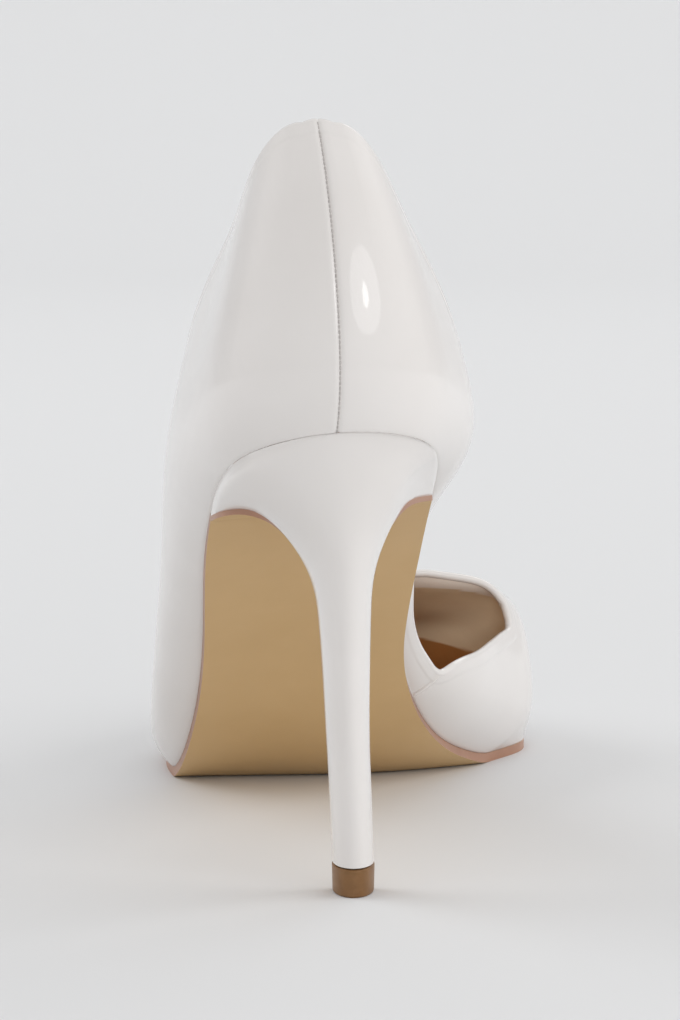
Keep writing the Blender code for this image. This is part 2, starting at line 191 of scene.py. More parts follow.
def bottom_height(x, y):
    """Height of the underside of the last: heel seat, shank, flat tread and toe spring."""
    side = x - SLANT_MIDDLE
    lag = y - along(SLANT, y) * side - along(ROUND, y) * np.clip(side, 0.0, None) ** 2
    rows = np.array(BOTTOM)
    knots = np.concatenate([rows[:, 0], 2.0 * TREAD_START - rows[-2::-1, 0]])
    values = np.concatenate([rows[:, 1], rows[-2::-1, 1]])
    rear = spline(knots, values, np.minimum(lag, TREAD_START))
    rise = np.clip((lag - TREAD_END) / (TOE_Y - TREAD_END), 0.0, None)
    return np.where(lag < TREAD_START, rear, rows[-1, 1] + TOE_SPRING * rise ** 2)


def last_point(place, turn):
    """Point on the wall of the last: turn 0 is the featherline and a quarter turn is the ridge."""
    foot_x = around("outer_x", "inner_x", place)
    foot_y = around("outer_y", "inner_y", place)
    foot_z = bottom_height(foot_x, foot_y)
    ridge_x = around("ridge_x", "ridge_x", place)
    ridge_y = around("ridge_y", "ridge_y", place)
    ridge_z = around("ridge_z", "ridge_z", place)
    near = np.clip(np.abs(place), *RIDGE_ENDS)
    ahead = near + RIDGE_STEP
    behind = near - RIDGE_STEP
    fall = around("ridge_z", "ridge_z", ahead) - around("ridge_z", "ridge_z", behind)
    run = around("ridge_y", "ridge_y", ahead) - around("ridge_y", "ridge_y", behind)
    side_x = foot_x - ridge_x
    side_y = foot_y - ridge_y
    side_z = fall / run * side_y
    drop = ridge_z + side_z - foot_z
    full = around("outer_full", "inner_full", place)
    size = (np.cos(turn) ** full + np.sin(turn) ** full) ** (1.0 / full)
    out = np.cos(turn) / size
    up = np.sin(turn) / size
    z = ridge_z + side_z * out - drop * (1.0 - up)
    level = np.clip((z - foot_z) / around("bulge_height", "bulge_height", place), 0.0, None)
    swell = around("outer_bulge", "inner_bulge", place) * level * np.exp(1.0 - level)
    reach = np.hypot(side_x, side_y)
    x = ridge_x + side_x * (out + swell / reach)
    y = ridge_y + side_y * (out + swell / reach)
    return np.stack([x, y, z], axis=-1)


def fade(value):
    """Soft step from nought to one."""
    value = np.clip(value, 0.0, 1.0)
    return value * value * (3.0 - 2.0 * value)


def back_share(place):
    """Square root of the share of the way from the throat to the back of the heel."""
    return np.sqrt(np.clip(1.0 - np.abs(place) / THROAT, 0.0, None))


def topline_turn(place):
    """Turn at which the wall reaches the topline, carried on round the toe as a row of the closed vamp."""
    rows = np.array(TOPLINE)
    back = back_share(place)
    turn = np.where(place < 0.0, spline(rows[:, 0], rows[:, 1], back), spline(rows[:, 0], rows[:, 2], back))
    ahead = fade((np.abs(place) - THROAT) / (1.0 - THROAT))
    return np.radians(turn + ahead * (TOE_TURN - turn))


def normals(grid, closed):
    """Unit normals of a grid of points, from its neighbours."""
    if closed:
        side = np.roll(grid, -1, axis=0) - np.roll(grid, 1, axis=0)
    else:
        side = np.gradient(grid, axis=0)
    rise = np.gradient(grid, axis=1)
    normal = np.cross(side, rise)
    return normal / np.linalg.norm(normal, axis=-1, keepdims=True)


def upper_stations():
    """Places round the upper, close together at the back seam, at the inner lap and at the throat."""
    rear = THROAT * np.sin(np.linspace(0.0, 1.0, REAR_COUNT) ** REAR_CROWDING * np.pi / 2.0)
    rear = rear[rear > SEAM_CLEAR]
    lap = np.linspace(*LAP_PLACES)
    near = THROAT + np.linspace(*THROAT_PLACES)
    front = THROAT + (1.0 - THROAT) * np.sin(np.linspace(*FRONT_SHARES) * np.pi / 2.0)
    places = np.unique(np.concatenate([SEAM_PLACES, rear, lap, near, front]).round(6))
    keep = np.concatenate([[True], np.diff(places) > PLACE_CLOSEST])
    keep[np.argmin(np.abs(places - THROAT))] = True
    return places[keep]


half = upper_stations()
wall_place = np.concatenate([-half[:0:-1], half[:-1]])
columns = len(wall_place)
seam_column = int(np.argmin(np.abs(wall_place)))
throat_outer = int(np.argmin(np.abs(wall_place + THROAT)))
throat_inner = int(np.argmin(np.abs(wall_place - THROAT)))
opposite = np.array([(columns - j) % columns for j in range(columns)])
shut = np.abs(wall_place) > THROAT - PLACE_EXACT
low_share = np.concatenate([FOOT_SHARES, np.linspace(*WALL_SHARES), np.linspace(*FOLD_SHARES)[1:]])
top_share = np.linspace(*VAMP_SHARES)[1:]
low_rows = len(low_share) - 1
cut = topline_turn(wall_place)[:, None]
wall_turn = np.concatenate([cut * low_share, cut + (np.pi / 2.0 - cut) * top_share], axis=1)
wall = last_point(wall_place[:, None] * np.ones_like(wall_turn), wall_turn)
wall[..., 2] += GAP / 2.0
facing = normals(wall, closed=True)
ridge = facing[:, -1] + facing[opposite, -1]
facing[:, -1] = ridge / np.linalg.norm(ridge, axis=-1, keepdims=True)
box_low, box_high = (np.array(corner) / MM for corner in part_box("upper"))
middle = (wall.reshape(-1, 3).min(axis=0) + wall.reshape(-1, 3).max(axis=0) - box_low - box_high) / 2.0
middle[2] = 0.0


def topline_loop(surface, depth):
    """The cut edge of a surface all round, sunk into it by a depth: back, inner side, throat, outer side."""
    sunk = surface - depth * facing
    inner_edge = sunk[seam_column:throat_inner + 1, low_rows]
    inner_throat = sunk[throat_inner, low_rows + 1:]
    outer_throat = sunk[throat_outer, low_rows:-1][::-1]
    outer_edge = sunk[throat_outer + 1:seam_column, low_rows]
    return np.concatenate([inner_edge, inner_throat, outer_throat, outer_edge])


def nearest(points, line):
    """Distance from each point to the points of a line."""
    flat = points.reshape(-1, 3)
    found = np.empty(len(flat))
    batch = 2000
    for start in range(0, len(flat), batch):
        part = flat[start:start + batch, None, :] - line[None, :, :]
        found[start:start + batch] = np.sqrt((part ** 2).sum(axis=-1)).min(axis=1)
    return found.reshape(points.shape[:-1])


edge = topline_loop(wall, 0.0)
edge_distance = nearest(wall, edge)
seam_distance = np.linalg.norm(wall - wall[seam_column][None, :, :], axis=-1)


def lap_turn(back):
    """Turn in degrees of the lapped edge at a back share."""
    return np.interp(back, (LAP_TOP[0], LAP_END[0]), (LAP_TOP[1], LAP_END[1]))


outer_side = wall_place[:, None] < 0.0
inner_side = wall_place[:, None] > 0.0
wall_back = back_share(wall_place)[:, None]
behind_lap = np.where(inner_side, fade((wall_back - LAP_TOP[0]) / LAP_COMES_OVER), 0.0)
behind_lap = behind_lap * fade((np.degrees(wall_turn) - lap_turn(wall_back)) / LAP_SOFT + 0.5)
behind_lap = behind_lap * fade((LAP_GONE_AT - wall_back) / LAP_GOES_OVER)
relief = FOLD_RISE * fade((FOLD_WIDTH - edge_distance) / FOLD_SOFT)
relief = relief - SEAM_DEPTH * np.exp(-(seam_distance / SEAM_REACH) ** 2)
relief = relief + SEAM_RIDGE * np.exp(-(seam_distance / RIDGE_REACH) ** 2) * outer_side
relief = relief - LAP_STEP * behind_lap
foot_distance = np.linalg.norm(wall - wall[:, :1], axis=-1)
relief = relief - FOOT_ROUND * np.exp(-(foot_distance / FOOT_REACH) ** 2)
skin = wall + relief[..., None] * facing


def add_mesh(name, points, faces, surfaces, face_surface=None):
    """Make a smooth closed piece from points in the last's millimetres, faces turned outwards."""
    mesh = bpy.data.meshes.new(name)
    mesh.from_pydata(((np.asarray(points) - middle) * MM).tolist(), [], faces)
    for surface in surfaces:
        mesh.materials.append(surface)
    if face_surface is not None:
        mesh.polygons.foreach_set("material_index", face_surface)
    solid = bmesh.new()
    solid.from_mesh(mesh)
    bmesh.ops.remove_doubles(solid, verts=solid.verts, dist=MERGE_DISTANCE)
    bmesh.ops.recalc_face_normals(solid, faces=solid.faces)
    if solid.calc_volume(signed=True) < 0.0:
        bmesh.ops.reverse_faces(solid, faces=solid.faces)
    solid.to_mesh(mesh)
    solid.free()
    mesh.shade_smooth()
    mesh.set_sharp_from_angle(angle=SHARP_ANGLE)
    piece = bpy.data.objects.new(name, mesh)
    bpy.context.scene.collection.objects.link(piece)
    return piece


def shell_mesh(name, outside, inside, surface):
    """Closed wall between two grids of the upper, open at the topline, the cut-out and underneath."""
    wide = outside.shape[1]

    def front(j, i):
        j = j % columns
        if i == wide - 1 and wall_place[j] < 0.0:
            j = opposite[j]
        return int(j * wide + i)

    def rear(j, i):
        return columns * wide + front(j, i)

    faces = []
    for j in range(columns):
        closed = shut[j] and shut[(j + 1) % columns]
        rows = wide - 1 if closed else low_rows
        for i in range(rows):
            faces.append((front(j, i), front(j + 1, i), front(j + 1, i + 1), front(j, i + 1)))
            faces.append((rear(j, i), rear(j, i + 1), rear(j + 1, i + 1), rear(j + 1, i)))
        faces.append((front(j, 0), rear(j, 0), rear(j + 1, 0), front(j + 1, 0)))
        if not closed:
            faces.append((front(j, rows), front(j + 1, rows), rear(j + 1, rows), rear(j, rows)))
        if shut[j] and not (shut[j - 1] and shut[(j + 1) % columns]):
            for i in range(low_rows, wide - 1):
                faces.append((front(j, i), front(j, i + 1), rear(j, i + 1), rear(j, i)))
    points = np.concatenate([outside.reshape(-1, 3), inside.reshape(-1, 3)])
    used = sorted({k for face in faces for k in face})
    number = {k: n for n, k in enumerate(used)}
    faces = [tuple(number[k] for k in face) for face in faces]
    return add_mesh(name, points[used], faces, [surface])


def new_material(name):
    """New plain surface, with its shader and its node tree."""
    made = bpy.data.materials.new(name)
    made.use_nodes = True
    return made, made.node_tree.nodes["Principled BSDF"], made.node_tree


def add_noise(tree, scale, detail, roughness):
    """Noise in the piece's own metres."""
    place_node = tree.nodes.new("ShaderNodeTexCoord")
    noise = tree.nodes.new("ShaderNodeTexNoise")
    noise.inputs["Scale"].default_value = scale
    noise.inputs["Detail"].default_value = detail
    noise.inputs["Roughness"].default_value = roughness
    tree.links.new(place_node.outputs["Object"], noise.inputs["Vector"])
    return noise


def add_bump(tree, shader, height, distance, strength, socket="Normal"):
    """Bump from a height, into one of the shader's normals."""
    bump = tree.nodes.new("ShaderNodeBump")
    bump.inputs["Distance"].default_value = distance
    bump.inputs["Strength"].default_value = strength
    tree.links.new(height, bump.inputs["Height"])
    tree.links.new(bump.outputs["Normal"], shader.inputs[socket])


def blend_colours(tree, factor, first, second, low=0.3, high=0.7):
    """Two colours mixed by a factor between two limits."""
    ramp = tree.nodes.new("ShaderNodeValToRGB")
    ramp.color_ramp.elements[0].position = low
    ramp.color_ramp.elements[1].position = high
    ramp.color_ramp.elements[0].color = (*first, 1.0)
    ramp.color_ramp.elements[1].color = (*second, 1.0)
    tree.links.new(factor, ramp.inputs["Fac"])
    return ramp.outputs["Color"]


def white_patent(name):
    """Patent: a warm white ground under a thick clear coat that waves a little over the leather."""
    made, shader, tree = new_material(name)
    cloud = add_noise(tree, scale=35.0, detail=2.0, roughness=0.5)
    tint = blend_colours(tree, cloud.outputs["Fac"], PATENT_SHADE, PATENT_WHITE, low=0.35, high=0.65)
    tree.links.new(tint, shader.inputs["Base Color"])
    shader.inputs["Roughness"].default_value = 0.32
    shader.inputs["Specular IOR Level"].default_value = 0.35
    shader.inputs["Coat Weight"].default_value = 1.0
    shader.inputs["Coat Roughness"].default_value = 0.045
    shader.inputs["Coat IOR"].default_value = 1.5
    wave = add_noise(tree, scale=70.0, detail=1.0, roughness=0.4)
    add_bump(tree, shader, wave.outputs["Fac"], distance=0.12 * MM, strength=0.55, socket="Coat Normal")
    grain = add_noise(tree, scale=1400.0, detail=2.0, roughness=0.5)
    add_bump(tree, shader, grain.outputs["Fac"], distance=0.01 * MM, strength=0.2)
    return made


patent = white_patent("white_patent")
patent_back = wall - PATENT_THICKNESS * facing
upper = shell_mesh("upper_patent", skin, patent_back, patent)
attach(upper, "root")
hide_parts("upper")

# The lining
# Thin matt beige leather glued inside the upper, its edge covered by the folded edge of the patent. A facing
# strip is sewn on along that edge; its paler colour is partly painted light, the brightness where light
# comes in at the opening. Low down in the toe the lining is coloured the same brown as the sock.
LINING_START = 0.95
STRIP_WIDTH = 8.0
STRIP_RISE = 0.16
STRIP_SOFT = 0.35
TOE_LINING_START = 160.0
TOE_LINING_TOP = 23.2
TOE_LINING_FALL = 0.15
TOE_LINING_SOFT = 0.6
BEIGE = ((0.76, 0.61, 0.42), (0.82, 0.68, 0.48))
LIT_PALE_BEIGE = ((0.90, 0.84, 0.76), (0.93, 0.88, 0.81))
BROWN = ((0.420, 0.185, 0.058), (0.500, 0.235, 0.082))


def mix_by(tree, name, first, second):
    """Colour that goes from the first to the second by a point attribute."""
    share = tree.nodes.new("ShaderNodeAttribute")
    share.attribute_name = name
    mix = tree.nodes.new("ShaderNodeMix")
    mix.data_type = "RGBA"
    colour_in = [socket for socket in mix.inputs if socket.type == "RGBA"]
    colour_out = [socket for socket in mix.outputs if socket.type == "RGBA"]
    tree.links.new(share.outputs["Fac"], mix.inputs["Factor"])
    tree.links.new(first, colour_in[0])
    tree.links.new(second, colour_in[1])
    return colour_out[0]


def beige_lining():
    """Soft beige leather with a fine grain, paler on the strip along the edge as partly painted light, and
    coloured brown low in the toe.
    """
    made, shader, tree = new_material("beige_lining")
    cloud = add_noise(tree, scale=60.0, detail=4.0, roughness=0.6)
    plain = blend_colours(tree, cloud.outputs["Fac"], *BEIGE)
    # The strip's paler colour is partly painted light: the brightness near the opening
    pale_lit = blend_colours(tree, cloud.outputs["Fac"], *LIT_PALE_BEIGE)
    brown = blend_colours(tree, cloud.outputs["Fac"], *BROWN)
    body = mix_by(tree, "toe_lining", plain, brown)
    tree.links.new(mix_by(tree, "lit_facing_strip", body, pale_lit), shader.inputs["Base Color"])
    shader.inputs["Roughness"].default_value = 0.6
    shader.inputs["Specular IOR Level"].default_value = 0.3
    grain = add_noise(tree, scale=1800.0, detail=3.0, roughness=0.6)
    add_bump(tree, shader, grain.outputs["Fac"], distance=0.05 * MM, strength=0.35)
    return made


lining_front = wall - LINING_START * facing
strip_share = fade((STRIP_WIDTH - edge_distance) / STRIP_SOFT)
lining_back = wall - (WALL - STRIP_RISE + STRIP_RISE * strip_share[..., None]) * facing
lining = shell_mesh("upper_lining", lining_front, lining_back, beige_lining())
lining_points = np.array([vertex.co for vertex in lining.data.vertices]) / MM + middle
# Mask of the sewn strip along the edge, whose paler colour is partly painted light
on_lit_strip = fade((STRIP_WIDTH - nearest(lining_points, topline_loop(wall, WALL))) / STRIP_SOFT)
lining.data.attributes.new("lit_facing_strip", "FLOAT", "POINT").data.foreach_set("value", on_lit_strip)
# Coloured brown low down in the toe, the same brown as the sock
toe_line = TOE_LINING_TOP - TOE_LINING_FALL * lining_points[:, 0]
in_toe = fade((toe_line - lining_points[:, 2]) / TOE_LINING_SOFT)
in_toe = in_toe * fade((lining_points[:, 1] - TOE_LINING_START) / TOE_LINING_SOFT)
lining.data.attributes.new("toe_lining", "FLOAT", "POINT").data.foreach_set("value", in_toe)
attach(lining, "root")

# The folded edge
# The patent is turned in round the whole topline and the cut-out, so the edge is a round roll, a little
# thicker than the wall, that catches the light. The vamp's edge runs on over the low rim down to the sole.
ROLL_RADIUS = 0.92
ROLL_SIDES = 12
LAP_RADIUS = 0.55
LAP_SUNK = 0.42
LAP_POINTS = 16
LAP_RUNS_ON = 0.006
LAP_STOPS_SHORT = 0.001
WALL_STEP = 0.0005


def wall_spot(at, rise, depth):
    """Points on the wall of the upper, sunk into it by a depth."""
    side = last_point(at + WALL_STEP, rise) - last_point(at - WALL_STEP, rise)
    climb = last_point(at, rise + WALL_STEP) - last_point(at, rise - WALL_STEP)
    out = np.cross(side, climb)
    out = out / np.linalg.norm(out, axis=-1, keepdims=True)
    return last_point(at, rise) + np.array([0.0, 0.0, GAP / 2.0]) - depth * out


def path_object(name, points, closed):
    """Line of edges through points, ready to be swept or followed."""
    mesh = bpy.data.meshes.new(name)
    count = len(points)
    links = [(i, i + 1) for i in range(count - 1)]
    if closed:
        links.append((count - 1, 0))
    mesh.from_pydata(((np.asarray(points) - middle) * MM).tolist(), links, [])
    made = bpy.data.objects.new(name, mesh)
    bpy.context.scene.collection.objects.link(made)
    return made


def node_tree(name, sizes):
    """Empty geometry tree with named size inputs."""
    tree = bpy.data.node_groups.new(name, "GeometryNodeTree")
    tree.interface.new_socket("Geometry", in_out="INPUT", socket_type="NodeSocketGeometry")
    sockets = {}
    for label, kind in sizes:
        sockets[label] = tree.interface.new_socket(label, in_out="INPUT", socket_type=kind).identifier
    tree.interface.new_socket("Geometry", in_out="OUTPUT", socket_type="NodeSocketGeometry")
    start = tree.nodes.new("NodeGroupInput")
    end = tree.nodes.new("NodeGroupOutput")
    return tree, start, end, sockets


def finish_tree(tree, end, geometry, surface):
    """Close a geometry tree: real meshes, smooth, with their surface."""
    real = tree.nodes.new("GeometryNodeRealizeInstances")
    smooth = tree.nodes.new("GeometryNodeSetShadeSmooth")
    dress = tree.nodes.new("GeometryNodeSetMaterial")
    dress.inputs["Material"].default_value = surface
    tree.links.new(geometry, real.inputs["Geometry"])
    tree.links.new(real.outputs["Geometry"], smooth.inputs["Geometry"])
    tree.links.new(smooth.outputs["Geometry"], dress.inputs["Geometry"])
    tree.links.new(dress.outputs["Geometry"], end.inputs["Geometry"])


def grown(name, path, tree, values):
    """Run a geometry tree on a path and keep the result as a plain mesh."""
    modifier = path.modifiers.new(tree.name, "NODES")
    modifier.node_group = tree
    for identifier, value in values.items():
        modifier[identifier] = value
    evaluated = path.evaluated_get(bpy.context.evaluated_depsgraph_get())
    mesh = bpy.data.meshes.new_from_object(evaluated)
    mesh.name = name
    bpy.data.objects.remove(path, do_unlink=True)
    made = bpy.data.objects.new(name, mesh)
    bpy.context.scene.collection.objects.link(made)
    return made


def roll_tree(surface):
    """Round roll swept along a path."""
    sizes = (("Radius", "NodeSocketFloat"), ("Sides", "NodeSocketInt"))
    tree, start, end, sockets = node_tree("edge_roll", sizes)
    curve = tree.nodes.new("GeometryNodeMeshToCurve")
    ring = tree.nodes.new("GeometryNodeCurvePrimitiveCircle")
    sweep = tree.nodes.new("GeometryNodeCurveToMesh")
    sweep.inputs["Fill Caps"].default_value = True
    tree.links.new(start.outputs["Geometry"], curve.inputs["Mesh"])
    tree.links.new(start.outputs["Radius"], ring.inputs["Radius"])
    tree.links.new(start.outputs["Sides"], ring.inputs["Resolution"])
    tree.links.new(curve.outputs["Curve"], sweep.inputs["Curve"])
    tree.links.new(ring.outputs["Curve"], sweep.inputs["Profile Curve"])
    finish_tree(tree, end, sweep.outputs["Mesh"], surface)
    return tree, sockets


roll, roll_sockets = roll_tree(patent)
topline_path = path_object("topline_path", topline_loop(skin, FOLD_RISE + WALL / 2.0), closed=True)
roll_sizes = {roll_sockets["Radius"]: ROLL_RADIUS * MM, roll_sockets["Sides"]: ROLL_SIDES}
folded_edge = grown("folded_edge", topline_path, roll, roll_sizes)
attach(folded_edge, "root")

lap_back = np.linspace(LAP_TOP[0] - LAP_RUNS_ON, LAP_END[0] - LAP_STOPS_SHORT, LAP_POINTS)
lap_place = THROAT * (1.0 - lap_back ** 2)
lap_rise = np.radians(lap_turn(lap_back))
lap_path = path_object("lap_path", wall_spot(lap_place, lap_rise, LAP_SUNK), closed=False)
lap_sizes = {roll_sockets["Radius"]: LAP_RADIUS * MM, roll_sockets["Sides"]: ROLL_SIDES}
lap_edge = grown("lap_edge", lap_path, roll, lap_sizes)
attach(lap_edge, "root")

# The back seam
# The two sides of the upper are sewn together up the back of the heel with a close row of stitches in
# grey-beige thread that lie down in the seam.
STITCH_PITCH = 0.95
STITCH_LENGTH = 0.92
THREAD_THICKNESS = 0.34
STITCH_SUNK = 0.17
THREAD_SHADE = (0.46, 0.43, 0.41)
THREAD_LIGHT = (0.58, 0.55, 0.53)


def thread_surface():
    """Grey-beige sewing thread."""
    made, shader, tree = new_material("seam_thread")
    twist = add_noise(tree, scale=3000.0, detail=1.0, roughness=0.5)
    tint = blend_colours(tree, twist.outputs["Fac"], THREAD_SHADE, THREAD_LIGHT)
    tree.links.new(tint, shader.inputs["Base Color"])
    shader.inputs["Roughness"].default_value = 0.7
    return made


def stitch_tree(surface):
    """Short rounded stitches laid along a path."""
    sizes = (("Pitch", "NodeSocketFloat"), ("Length", "NodeSocketFloat"), ("Thickness", "NodeSocketFloat"))
    tree, start, end, sockets = node_tree("stitches", sizes)
    curve = tree.nodes.new("GeometryNodeMeshToCurve")
    spots = tree.nodes.new("GeometryNodeCurveToPoints")
    spots.mode = "LENGTH"
    bead = tree.nodes.new("GeometryNodeMeshUVSphere")
    bead.inputs["Segments"].default_value = 8
    bead.inputs["Rings"].default_value = 6
    bead.inputs["Radius"].default_value = 0.5
    size = tree.nodes.new("ShaderNodeCombineXYZ")
    lay = tree.nodes.new("GeometryNodeInstanceOnPoints")
    tree.links.new(start.outputs["Geometry"], curve.inputs["Mesh"])
    tree.links.new(curve.outputs["Curve"], spots.inputs["Curve"])
    tree.links.new(start.outputs["Pitch"], spots.inputs["Length"])
    tree.links.new(start.outputs["Thickness"], size.inputs["X"])
    tree.links.new(start.outputs["Thickness"], size.inputs["Y"])
    tree.links.new(start.outputs["Length"], size.inputs["Z"])
    tree.links.new(spots.outputs["Points"], lay.inputs["Points"])
    tree.links.new(spots.outputs["Rotation"], lay.inputs["Rotation"])
    tree.links.new(bead.outputs["Mesh"], lay.inputs["Instance"])
    tree.links.new(size.outputs["Vector"], lay.inputs["Scale"])
    finish_tree(tree, end, lay.outputs["Instances"], surface)
    return tree, sockets


stitches, stitch_sockets = stitch_tree(thread_surface())
seam_line = wall[seam_column, 1:low_rows - 1] - STITCH_SUNK * facing[seam_column, 1:low_rows - 1]
seam_path = path_object("seam_path", seam_line, closed=False)
stitch_sizes = {
    stitch_sockets["Pitch"]: STITCH_PITCH * MM,
    stitch_sockets["Length"]: STITCH_LENGTH * MM,
    stitch_sockets["Thickness"]: THREAD_THICKNESS * MM,
}
back_stitches = grown("back_seam_stitches", seam_path, stitches, stitch_sizes)
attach(back_stitches, "root")

# The insole
# A stiff board bent like the last, with a smooth sock of thin brown leather glued on it. It lies inside
# the upper, on the edge of the upper that is drawn in and glued under it.
INSOLE_THICKNESS = 2.2
INSOLE_INSET = WALL + 1.5 * GAP
INSOLE_ACROSS = 21
HEEL_PLACES = (0.004, 0.06, 10)
INSOLE_COUNT = 90
BOTTOM_TIP = 0.995
TOE_CROWDING = 0.9


def bottom_outline(at, inset, lift):
    """The featherline moved inwards in plan and set at the height of the last's underside."""
    level = np.zeros_like(at)
    foot = last_point(at, level)
    run = last_point(at + WALL_STEP, level) - last_point(at - WALL_STEP, level)
    size = np.hypot(run[:, 0], run[:, 1])
    x = foot[:, 0] - inset * run[:, 1] / size
    y = foot[:, 1] + inset * run[:, 0] / size
    return np.stack([x, y, bottom_height(x, y) + lift], axis=-1)


def bottom_ribs(at, across, inset, lift):
    """Ribs across the bottom of the last from the outer to the inner side."""
    share = np.linspace(0.0, 1.0, across)[None, :, None]
    outer = bottom_outline(-at, inset, lift)[:, None, :]
    inner = bottom_outline(at, inset, lift)[:, None, :]
    ribs = outer * (1.0 - share) + inner * share
    ribs[..., 2] = bottom_height(ribs[..., 0], ribs[..., 1]) + lift
    return ribs


def plate_faces(count, width):
    """Faces of a closed sheet, each with the part that it belongs to: top, underside or edge."""
    def top(i, j):
        return i * width + j

    def under(i, j):
        return count * width + i * width + j

    faces = []
    parts = []
    for i in range(count - 1):
        for j in range(width - 1):
            faces.append((top(i, j), top(i, j + 1), top(i + 1, j + 1), top(i + 1, j)))
            faces.append((under(i, j), under(i + 1, j), under(i + 1, j + 1), under(i, j + 1)))
            parts += ["top", "underside"]
        side = width - 1
        faces.append((top(i, 0), top(i + 1, 0), under(i + 1, 0), under(i, 0)))
        faces.append((top(i, side), under(i, side), under(i + 1, side), top(i + 1, side)))
        parts += ["edge", "edge"]
    for j in range(width - 1):
        end = count - 1
        faces.append((top(0, j), under(0, j), under(0, j + 1), top(0, j + 1)))
        faces.append((top(end, j), top(end, j + 1), under(end, j + 1), under(end, j)))
        parts += ["edge", "edge"]
    return faces, parts


def brown_sock():
    """Smooth brown sock with a fine grain."""
    made, shader, tree = new_material("brown_sock")
    cloud = add_noise(tree, scale=50.0, detail=4.0, roughness=0.6)
    tint = blend_colours(tree, cloud.outputs["Fac"], *BROWN)
    tree.links.new(tint, shader.inputs["Base Color"])
    shader.inputs["Roughness"].default_value = 0.55
    grain = add_noise(tree, scale=1600.0, detail=3.0, roughness=0.6)
    add_bump(tree, shader, grain.outputs["Fac"], distance=0.05 * MM, strength=0.35)
    return made


def sole_stations(first, last, count):
    """Stations along the bottom, closer together at the toe."""
    return first + (last - first) * np.sin(np.linspace(0.0, 1.0, count) * np.pi / 2.0) ** TOE_CROWDING


insole_heel = np.linspace(*HEEL_PLACES)
insole_at = np.concatenate([insole_heel[:-1], sole_stations(insole_heel[-1], BOTTOM_TIP, INSOLE_COUNT)])
insole_under = bottom_ribs(insole_at, INSOLE_ACROSS, INSOLE_INSET, GAP / 2.0)
insole_top = insole_under + np.array([0.0, 0.0, INSOLE_THICKNESS])
insole_points = np.concatenate([insole_top.reshape(-1, 3), insole_under.reshape(-1, 3)])
insole_faces, _ = plate_faces(len(insole_at), INSOLE_ACROSS)
insole = add_mesh("insole", insole_points, insole_faces, [brown_sock()])
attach(insole, "root")
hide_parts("insole")

# The heel
# A hard plastic heel covered in the same patent, screwed up into the seat. Its top follows the edge of
# the upper, its front is straight, and it grows slender down to the tip.
SEAT_END = 0.2
SEAT_LIFT = 0.29
RIM_ROUND = 0.22
ROUND_LEVEL = 22.0
TIP_HEIGHT = 5.6
HEEL_COLUMNS = ("level", "front_y", "front_z", "back_y", "back_z", "half_width", "middle_x", "tilt", "slant")
HEEL = (
    (1.2, 11.0, 74.9, -27.8, 93.1, 21.8, -6.1, 3.6, 4.0),
    (4.5, 3.6, 76.0, -27.2, 90.5, 19.7, -6.7, 2.6, 3.3),
    (10.0, -5.2, 76.6, -25.6, 85.0, 15.2, -5.2, 0.6, 3.0),
    (19.0, -8.9, 69.5, -22.4, 75.0, 8.6, -3.0, 0.0, 1.5),
    (35.0, -7.4, 55.0, -17.3, 57.0, 5.1, -1.75, 0.0, 0.6),
    (57.0, -4.3, 33.0, -13.4, 34.0, 4.3, -1.15, 0.0, 0.3),
    (73.0, -1.7, 18.0, -10.0, 18.2, 4.15, -0.5, 0.0, 0.0),
    (85.0, 0.9, TIP_HEIGHT + GAP, -6.9, TIP_HEIGHT + GAP, 4.05, 0.0, 0.0, 0.0),
)
HEEL_TOP = HEEL[0][0]
HEEL_END = HEEL[-1][0]
SEAT_POINTS = 40
SEAT_CROWDING = 1.1
HEEL_RINGS = 90
LEVEL_CROWDING = 1.4


def seat_outline(count):
    """Outline of the heel seat on the last, with its share across and its share of depth."""
    side = SEAT_END * np.linspace(0.0, 1.0, count) ** SEAT_CROWDING
    at = np.concatenate([-side[:0:-1], side])
    seat = bottom_outline(at, 0.0, SEAT_LIFT - RIM_ROUND)
    share = np.clip((seat[:, 0] - seat[0, 0]) / (seat[-1, 0] - seat[0, 0]), 0.0, 1.0)
    front = seat[0, 1] + (seat[-1, 1] - seat[0, 1]) * share
    depth = (front - seat[:, 1]) / np.max(front - seat[:, 1])
    return [bottom_outline(at, RIM_ROUND, SEAT_LIFT), seat], 2.0 * share - 1.0, depth


def heel_columns(levels):
    """Heel table columns at the given levels below the seat."""
    rows = np.array(HEEL)
    return [spline(rows[:, 0], rows[:, k], levels) for k in range(1, len(HEEL_COLUMNS))]


def heel_edge(level, across):
    """Straight front edge of the heel at a level."""
    front_y, front_z, _, _, width, centre, tilt, slant = heel_columns(level)
    return np.stack([centre + width * across, front_y + slant * across / 2.0,
                     front_z + tilt * across / 2.0], axis=-1)


def heel_ring(level, across, depth):
    """One D-shaped ring of the heel: seat shape near the top, plain half ellipse lower down."""
    turned = np.linspace(-np.pi / 2.0, np.pi / 2.0, len(across))
    blend = fade(level / ROUND_LEVEL)
    across = across + blend * (np.sin(turned) - across)
    depth = depth + blend * (np.cos(turned) - depth)
    front_y, front_z, back_y, back_z = heel_columns(level)[:4]
    lean = np.stack([np.zeros_like(depth), (back_y - front_y) * depth, (back_z - front_z) * depth], axis=-1)
    return heel_edge(level, across) + lean


heel_seat, heel_across, heel_depth = seat_outline(SEAT_POINTS)
heel_levels = HEEL_TOP + (HEEL_END - HEEL_TOP) * np.linspace(0.0, 1.0, HEEL_RINGS) ** LEVEL_CROWDING
heel_rings = heel_seat + [heel_ring(level, heel_across, heel_depth) for level in heel_levels]
heel_wide = len(heel_across)
heel_faces = []
for k in range(len(heel_rings) - 1):
    above = k * heel_wide
    below = above + heel_wide
    for i in range(heel_wide):
        n = (i + 1) % heel_wide
        heel_faces.append((above + i, above + n, below + n, below + i))

